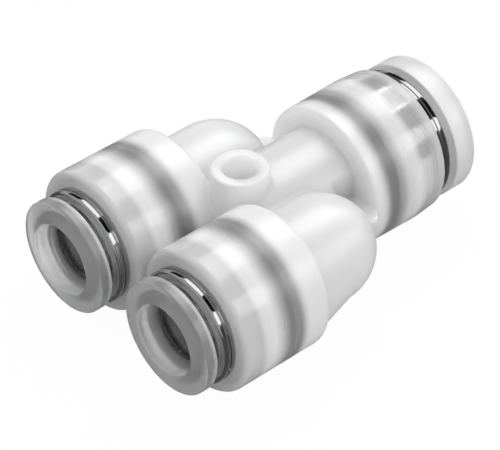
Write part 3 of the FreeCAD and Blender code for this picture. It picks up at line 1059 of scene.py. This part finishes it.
@dataclass(frozen=True)
class MouldedHousing:
    """The moulded body as one smooth skin: its forms blend, and the bores are cut.

    Lengths are in millimetres. A form's root is how far it runs into its neighbour, and a bore
    lists where each of its steps ends and that step's radius.
    """

    branch: BranchShell = BranchShell()
    step: float = 10.42
    mouth: float = 19.37
    taper: float = 16.77
    step_radius: float = 7.32
    taper_radius: float = 7.454
    mouth_radius: float = 7.26
    rim_round: float = 0.3
    neck_radius: float = 5.3
    neck_blend: float = 0.4
    neck_root: float = 1.0
    flat_half: float = 4.15
    flat_start: float = 7.67
    flat_blend: float = 0.3
    web_half: float = 0.6
    web_reach: float = 8.1
    web_front: float = -10.53
    web_root: float = 0.5
    web_widening: tuple[float, float] = (0.5, 0.1)
    web_inset: float = 0.12
    web_round: float = 0.28
    web_blend: float = 0.3
    post_radius: float = 2.76
    post_half: float = 7.0
    post_round: float = 0.3
    hole_radius: float = 1.6
    cross_x: float = 4.75
    flow_radius: float = 2.0
    small_bore: tuple[tuple[float, float], ...] = (
        (-8.6, 5.32), (-4.51, 5.02), (-1.51, 3.06), (6.75, 2.0),
    )
    large_bore: tuple[tuple[float, float], ...] = (
        (15.64, 6.42), (12.05, 5.97), (10.55, 4.06), (3.0, 2.8),
    )
    cell: float = 0.235
    joint_round: float = 0.45
    edge_round: float = 0.32
    seat_round: float = 0.22
    slope_reach: float = 0.01
    settle_rounds: int = 3
    longest_step: float = 0.1
    least_slope: float = 0.05

    def outside(self, x: np.ndarray, y: np.ndarray, z: np.ndarray) -> np.ndarray:
        """Distance to the body before its bores are cut.

        Args:
            x: Places along the ports' axes.
            y: Places across them.
            z: Heights.

        Returns:
            Distance at each place, negative inside.
        """
        out = np.hypot(y, z)
        width = np.interp(
            x,
            (self.step, self.taper, self.mouth),
            (self.step_radius, self.taper_radius, self.mouth_radius),
        )
        half = (self.mouth - self.step) / 2
        port = rounded_pair(np.abs(x - self.step - half) - half, out - width, self.rim_round)
        flat = np.maximum(self.flat_start - x, self.flat_half - np.abs(y))
        neck = np.maximum(out - self.neck_radius, -x)
        neck = -blend(-neck, flat, self.flat_blend)
        neck = np.maximum(neck, x - self.step - self.neck_root)
        before, behind = self.web_widening
        reach = np.interp(
            x,
            (self.branch.end, 0.0, self.step - before, self.step + behind),
            (self.flat_half, self.web_reach, self.web_reach, self.step_radius - self.web_inset),
        )
        web = rounded_pair(np.abs(z) - self.web_half, np.abs(y) - reach, self.web_round)
        web = np.maximum(web, np.maximum(self.web_front - x, x - self.step - self.web_root))
        side = np.hypot(x, y) - self.post_radius
        post = rounded_pair(np.abs(z) - self.post_half, side, self.post_round)
        body = self.branch.field(x, y, z)
        body = blend(body, blend(port, neck, self.neck_blend), self.joint_round)
        return blend(blend(body, web, self.web_blend), post, self.joint_round)

    def bores(self, x: np.ndarray, y: np.ndarray, z: np.ndarray) -> np.ndarray:
        """Distance to the space inside the ports, channels and mounting hole.

        Args:
            x: Places along the ports' axes.
            y: Places across them.
            z: Heights.

        Returns:
            Distance at each place, negative in the open.
        """
        across = np.abs(y) - self.branch.axis_y
        small, large = np.hypot(across, z), np.hypot(y, z)
        steps = [(small - radius, x - end) for end, radius in self.small_bore]
        steps += [(large - radius, end - x) for end, radius in self.large_bore]
        space = np.hypot(x, y) - self.hole_radius
        for side, seat in steps:
            space = blend(space, rounded_pair(side, seat, self.seat_round), self.seat_round)
        cross = np.maximum(np.hypot(x - self.cross_x, z) - self.flow_radius, across)
        return np.minimum(space, cross)

    def field(self, points: np.ndarray) -> np.ndarray:
        """Distance to the moulding's skin.

        Args:
            points: Places in millimetres, one to a row.

        Returns:
            Distance at each place, negative inside.
        """
        x, y, z = points.T
        return -blend(-self.outside(x, y, z), self.bores(x, y, z), self.edge_round)

    def slope(self, points: np.ndarray) -> np.ndarray:
        """Gradient of the field.

        Args:
            points: Places in millimetres.

        Returns:
            One vector to a place.
        """
        columns = []
        for axis in STEPS:
            shift = axis * self.slope_reach
            rise = self.field(points + shift) - self.field(points - shift)
            columns.append(rise / (2 * self.slope_reach))
        return np.stack(columns, axis=1)

    def skin(self) -> tuple[np.ndarray, np.ndarray]:
        """Wrap the field's zero level in quads, one corner to each cell that it crosses.

        Returns:
            Corner places in millimetres, and the corners of each quad.
        """
        margin = 2 * self.cell
        sides = [
            np.arange(low - margin, high + margin, self.cell)
            for low, high in (
                (self.branch.mouth, self.mouth),
                (-self.branch.axis_y - self.branch.radius, self.branch.axis_y + self.branch.radius),
                (-self.taper_radius, self.taper_radius),
            )
        ]
        grid = np.stack(np.meshgrid(*sides, indexing="ij"), axis=-1)
        level = self.field(grid.reshape(-1, 3)).reshape(grid.shape[:3])
        inside = level < 0.0
        cells = crossed_cells(inside)
        return cell_points(cells, grid, level), cell_quads(cells, inside)

    def build(self, finish: bpy.types.Material) -> bpy.types.Object:
        """Build the housing and set its normals from the field.

        Args:
            finish: The housing's material.

        Returns:
            The housing.
        """
        points, quads = self.skin()
        for _ in range(self.settle_rounds):
            slope = self.slope(points)
            size = np.maximum((slope ** 2).sum(axis=1), self.least_slope)
            step = np.clip(self.field(points) / size, -self.longest_step, self.longest_step)
            points -= step[:, None] * slope
        slope = self.slope(points)
        normals = slope / np.maximum(np.linalg.norm(slope, axis=1), TINY)[:, None]
        piece = placed("moulded_housing", (points * MM).tolist(), quads.tolist())
        piece.data.polygons.foreach_set("use_smooth", [True] * len(quads))
        piece.data.normals_split_custom_set_from_vertices(normals.tolist())
        piece.data.materials.append(finish)
        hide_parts("housing")
        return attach(piece, "fitting")


@dataclass(frozen=True)
class PhotoCamera:
    """Camera at the photograph's angle."""

    place: Place = (-0.128907, -0.145351, 0.165165)
    right: Place = (0.74761, -0.66412, 0.00469)
    up: Place = (0.42728, 0.48638, 0.76215)
    back: Place = (-0.50844, -0.56778, 0.64738)
    lens: float = 200.3
    sensor: float = 36.0
    nearest: float = 0.01
    farthest: float = 10.0

    def build(self) -> None:
        """Place the camera and make it the scene's."""
        data = bpy.data.cameras.new("photo_camera")
        data.lens = self.lens
        data.sensor_width = self.sensor
        data.clip_start = self.nearest
        data.clip_end = self.farthest
        camera = bpy.data.objects.new("photo_camera", data)
        turn = Matrix((self.right, self.up, self.back)).transposed().to_4x4()
        camera.matrix_world = Matrix.Translation(Vector(self.place)) @ turn
        bpy.context.scene.collection.objects.link(camera)
        bpy.context.scene.camera = camera


@dataclass(frozen=True)
class Softbox:
    """Rectangular lamp that looks at the object: its place and size in metres, and its watts."""

    name: str
    place: Place
    size: tuple[float, float]
    power: float


@dataclass(frozen=True)
class Card:
    """Flat card that metal mirrors and plastic shows fainter: its direction, size and tone."""

    name: str
    toward: Place
    width: float
    length: float
    tone: float
    away: float = 0.3


@dataclass(frozen=True)
class Studio:
    """White floor, pale world, a soft lamp, and cards that the polished metal mirrors.

    Attributes:
        glow_share: How far the floor is plain white to the camera, and not a lit surface.
        dim_tone: Darkest tone of a card seen through plastic; the brightest is the world's.
    """

    floor_level: float
    floor_size: float = 2.0
    glow_share: float = 0.97
    world_level: float = 0.82
    dim_tone: float = 0.3
    softbox: Softbox = Softbox("top_softbox", (0.17, 0.1, 0.43), (0.4, 0.4), 0.85)
    cards: tuple[Card, ...] = (
        Card("left_flag", (0.51, 0.72, 0.47), 0.16, 0.5, 0.01),
        Card("top_card", (0.51, 0.23, 0.83), 0.17, 0.5, 2.6, 0.31),
        Card("overhead_flag", (0.51, -0.36, 0.78), 0.17, 0.5, 0.01),
        Card("right_card", (0.51, -0.70, 0.50), 0.12, 0.5, 2.6, 0.31),
        Card("right_flag", (0.51, -0.85, 0.11), 0.14, 0.5, 0.12),
    )

    def build(self) -> None:
        """Build floor, world, lamp and cards."""
        self.floor()
        self.world()
        self.lamp()
        for card in self.cards:
            self.card(card)

    def sheet(self, name: str, width: float, length: float, height: float) -> bpy.types.Object:
        """Lay a flat rectangle.

        Args:
            name: The object's name.
            width: Its size along X.
            length: Its size along Y.
            height: Its height.

        Returns:
            The rectangle.
        """
        corners = [(-0.5, -0.5), (0.5, -0.5), (0.5, 0.5), (-0.5, 0.5)]
        verts = [(x * width, y * length, height) for x, y in corners]
        return placed(name, verts, [(0, 1, 2, 3)])

    def floor(self) -> None:
        """Build the floor: white to the camera with a faint shadow, and a painted dark grey
        reflection in polished metal.
        """
        floor = self.sheet("studio_floor", self.floor_size, self.floor_size, self.floor_level)
        bench = NodeBench("studio_paper")
        paper = bench.add("ShaderNodeBsdfDiffuse", Color=Tint.PAPER.rgba)
        glow = bench.add("ShaderNodeEmission", Strength=1.0)
        painted_reflection = bench.add("ShaderNodeEmission", Color=Tint.MIRRORED.rgba, Strength=1.0)
        rays = bench.add("ShaderNodeLightPath").outputs
        glowing = bench.spread(rays["Is Camera Ray"], 0.0, self.glow_share)
        # Painted reflection: glossy rays see the floor as dark grey instead of its lit white.
        polished = bench.combine("SUBTRACT", rays["Is Glossy Ray"], rays["Is Transmission Ray"])
        lit = bench.mix_shaders(glowing, paper, glow)
        floor.data.materials.append(bench.surface(bench.mix_shaders(polished, lit, painted_reflection)))

    def world(self) -> None:
        """Light the scene from a pale world."""
        world = bpy.data.worlds.new("studio_world")
        world.use_nodes = True
        back = world.node_tree.nodes["Background"]
        back.inputs["Color"].default_value = (1.0, 1.0, 1.0, 1.0)
        back.inputs["Strength"].default_value = self.world_level
        bpy.context.scene.world = world

    def lamp(self) -> None:
        """Hang the soft lamp."""
        box = self.softbox
        data = bpy.data.lights.new(box.name, "AREA")
        data.shape = "RECTANGLE"
        data.size, data.size_y = box.size
        data.energy = box.power
        lamp = bpy.data.objects.new(box.name, data)
        lamp.location = box.place
        lamp.rotation_euler = (-Vector(box.place)).to_track_quat("-Z", "Y").to_euler()
        bpy.context.scene.collection.objects.link(lamp)

    def card(self, card: Card) -> None:
        """Hang a card that mirror-like surfaces see, and plastic at a milder tone.

        Args:
            card: The card.
        """
        flag = self.sheet(card.name, card.width, card.length, 0.0)
        toward = Vector(card.toward).normalized()
        along = (Vector((1, 0, 0)) - toward * toward.x).normalized()
        across = along.cross(toward)
        turn = Matrix((across, along, toward)).transposed().to_4x4()
        flag.matrix_world = Matrix.Translation(toward * card.away) @ turn
        flag.visible_camera = False
        flag.visible_diffuse = False
        flag.visible_shadow = False
        bench = NodeBench(card.name)
        rays = bench.add("ShaderNodeLightPath")
        through = min(max(card.tone, self.dim_tone), self.world_level)
        tone = bench.spread(rays.outputs["Is Transmission Ray"], card.tone, through)
        light = bench.add("ShaderNodeEmission")
        bench.link(tone, light.inputs["Strength"])
        flag.data.materials.append(bench.surface(light))


def dress_hidden(
    nodes: dict[str, bpy.types.Object], finishes: dict[str, bpy.types.Material]
) -> None:
    """Give the carried-over nodes their materials.

    Args:
        nodes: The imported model's nodes.
        finishes: Material by the last words of a node's name.
    """
    for name, node in nodes.items():
        for word, finish in finishes.items():
            if name.endswith(word):
                node.data.materials.clear()
                node.data.materials.append(finish)
                if word == "support_ring":
                    swell = node.modifiers.new("pressed_home", "DISPLACE")
                    swell.strength = PRESS * MM
                    swell.mid_level = 0.0
                LOG.info("%s dressed", name)


def main() -> None:
    """Load the frame, build and dress each piece and light the scene."""
    logging.basicConfig(level=logging.INFO, format="%(name)s: %(message)s")
    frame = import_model()
    PhotoCamera().build()
    housing = MouldedHousing().build(MILKY_POLYPROPYLENE.material())
    LOG.info("%s built, %d faces", housing.name, len(housing.data.polygons))
    dress_hidden(frame["nodes"], {
        "grip_ring": SPRING_STEEL.material(),
        "support_ring": RING_PLASTIC.material(),
    })
    rubber = SealRubber().material()
    steel = POLISHED_STEEL.material()
    sleeve_plastic = SLEEVE_PLASTIC.material()
    ports = (
        (PortDress("main", Side.BACK, LARGE_PORT), PALE_SLEEVE_PLASTIC.material()),
        (PortDress("left", Side.FRONT, SMALL_PORT), sleeve_plastic),
        (PortDress("right", Side.FRONT, SMALL_PORT), sleeve_plastic),
    )
    for port, plastic in ports:
        for piece in (port.collar(steel), port.sleeve(plastic), port.seal(rubber)):
            LOG.info("%s built, %d faces", piece.name, len(piece.data.polygons))
    low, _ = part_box("housing")
    Studio(low.z).build()
    bpy.context.scene.view_settings.view_transform = "Standard"


if __name__ == "__main__":
    main()
